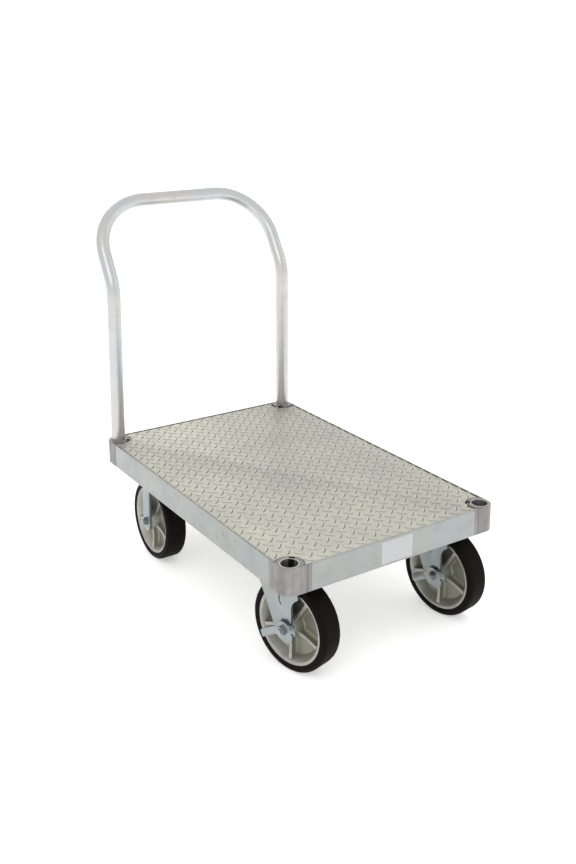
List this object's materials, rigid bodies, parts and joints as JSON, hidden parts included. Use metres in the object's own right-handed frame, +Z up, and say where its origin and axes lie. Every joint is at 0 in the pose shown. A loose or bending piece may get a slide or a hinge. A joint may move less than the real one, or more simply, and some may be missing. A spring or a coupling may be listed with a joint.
{
  "type": "flatbed platform truck",
  "caption": "Flatbed platform truck with an aluminium tread deck in a rail frame, corner handle sockets, a lift-out push handle, braked swivel casters and rigid casters.",
  "frame": {"origin": "on the floor, under the middle of the whole truck's box", "axes": "+X across the deck, +Y along the deck from the swivel casters towards the push handle, +Z up"},
  "size_m": [0.57, 1.0088, 0.9133],
  "materials": {
    "aluminium_cast": "bead-blasted casting",
    "aluminium_rail": "satin extruded",
    "aluminium_tube": "satin drawn tube",
    "bearing_steel": "ground hardened steel",
    "hardware": "zinc plated",
    "label": "plain white film",
    "tread_plate": "mill finish tread plate",
    "tyre": "moulded solid rubber",
    "wheel_core": "die cast, lightly tumbled",
    "zinc_steel": "clear zinc plate on pressed steel"
  },
  "bodies": {
    "frame": {"side_rail_left": "aluminium_rail", "side_rail_right": "aluminium_rail", "end_rail_front": "aluminium_rail", "end_rail_rear": "aluminium_rail", "corner_front_left": "aluminium_cast", "corner_front_right": "aluminium_cast", "corner_rear_left": "aluminium_cast", "corner_rear_right": "aluminium_cast", "deck_plate": "tread_plate", "caster_beam_front": "aluminium_rail", "caster_beam_rear": "aluminium_rail", "cross_member": "aluminium_rail", "label": "label", "caster_bolts": "hardware", "caster_washers": "hardware", "caster_nuts": "hardware", "front_left_top_plate": "zinc_steel", "front_left_kingpin": "hardware", "front_left_kingpin_nut": "hardware", "front_right_top_plate": "zinc_steel", "front_right_kingpin": "hardware", "front_right_kingpin_nut": "hardware", "rear_left_fork": "zinc_steel", "rear_right_fork": "zinc_steel", "rear_axle_bolts": "hardware", "rear_axle_nuts": "hardware", "rear_bushings": "bearing_steel", "rear_thrust_washers": "hardware"},
    "handle": {"handle_tube": "aluminium_tube"},
    "swivel_left": {"front_left_fork": "zinc_steel", "front_left_balls": "bearing_steel", "front_left_axle_bolt": "hardware", "front_left_axle_nut": "hardware", "front_left_bushing": "bearing_steel", "front_left_thrust_washers": "hardware", "front_left_brake_cam": "zinc_steel"},
    "brake_left": {"front_left_brake_lever": "zinc_steel"},
    "swivel_right": {"front_right_fork": "zinc_steel", "front_right_balls": "bearing_steel", "front_right_axle_bolt": "hardware", "front_right_axle_nut": "hardware", "front_right_bushing": "bearing_steel", "front_right_thrust_washers": "hardware", "front_right_brake_cam": "zinc_steel"},
    "brake_right": {"front_right_brake_lever": "zinc_steel"},
    "wheel_front_left": {"front_left_wheel_core": "wheel_core", "front_left_tyre": "tyre", "front_left_rollers": "bearing_steel"},
    "wheel_front_right": {"front_right_wheel_core": "wheel_core", "front_right_tyre": "tyre", "front_right_rollers": "bearing_steel"},
    "wheel_rear_left": {"rear_left_wheel_core": "wheel_core", "rear_left_tyre": "tyre", "rear_left_rollers": "bearing_steel"},
    "wheel_rear_right": {"rear_right_wheel_core": "wheel_core", "rear_right_tyre": "tyre", "rear_right_rollers": "bearing_steel"}
  },
  "joints": [
    {"name": "handle_lift", "type": "slide", "parent": "frame", "child": "handle", "axis": [0, 0, 1], "range_m": [0, 0.06]},
    {"name": "front_left_swivel", "type": "hinge", "parent": "frame", "child": "swivel_left", "pos_m": [-0.21, -0.35667, 0.2175], "axis": [0, 0, 1], "continuous": true},
    {"name": "front_right_swivel", "type": "hinge", "parent": "frame", "child": "swivel_right", "pos_m": [0.21, -0.35667, 0.2175], "axis": [0, 0, 1], "continuous": true},
    {"name": "front_left_spin", "type": "hinge", "parent": "swivel_left", "child": "wheel_front_left", "pos_m": [-0.19873, -0.40024, 0.1016], "axis": [0.9681, 0.2504, 0], "continuous": true},
    {"name": "front_right_spin", "type": "hinge", "parent": "swivel_right", "child": "wheel_front_right", "pos_m": [0.21665, -0.40118, 0.1016], "axis": [0.989, 0.1478, 0], "continuous": true},
    {"name": "rear_left_spin", "type": "hinge", "parent": "frame", "child": "wheel_rear_left", "pos_m": [-0.215, 0.21433, 0.1016], "axis": [1, 0, 0], "continuous": true},
    {"name": "rear_right_spin", "type": "hinge", "parent": "frame", "child": "wheel_rear_right", "pos_m": [0.215, 0.21433, 0.1016], "axis": [1, 0, 0], "continuous": true},
    {"name": "front_left_brake", "type": "hinge", "parent": "swivel_left", "child": "brake_left", "pos_m": [-0.19873, -0.40024, 0.1016], "axis": [0.9681, 0.2504, 0], "range_deg": [0, 44]},
    {"name": "front_right_brake", "type": "hinge", "parent": "swivel_right", "child": "brake_right", "pos_m": [0.21665, -0.40118, 0.1016], "axis": [0.989, 0.1478, 0], "range_deg": [0, 44]}
  ]
}
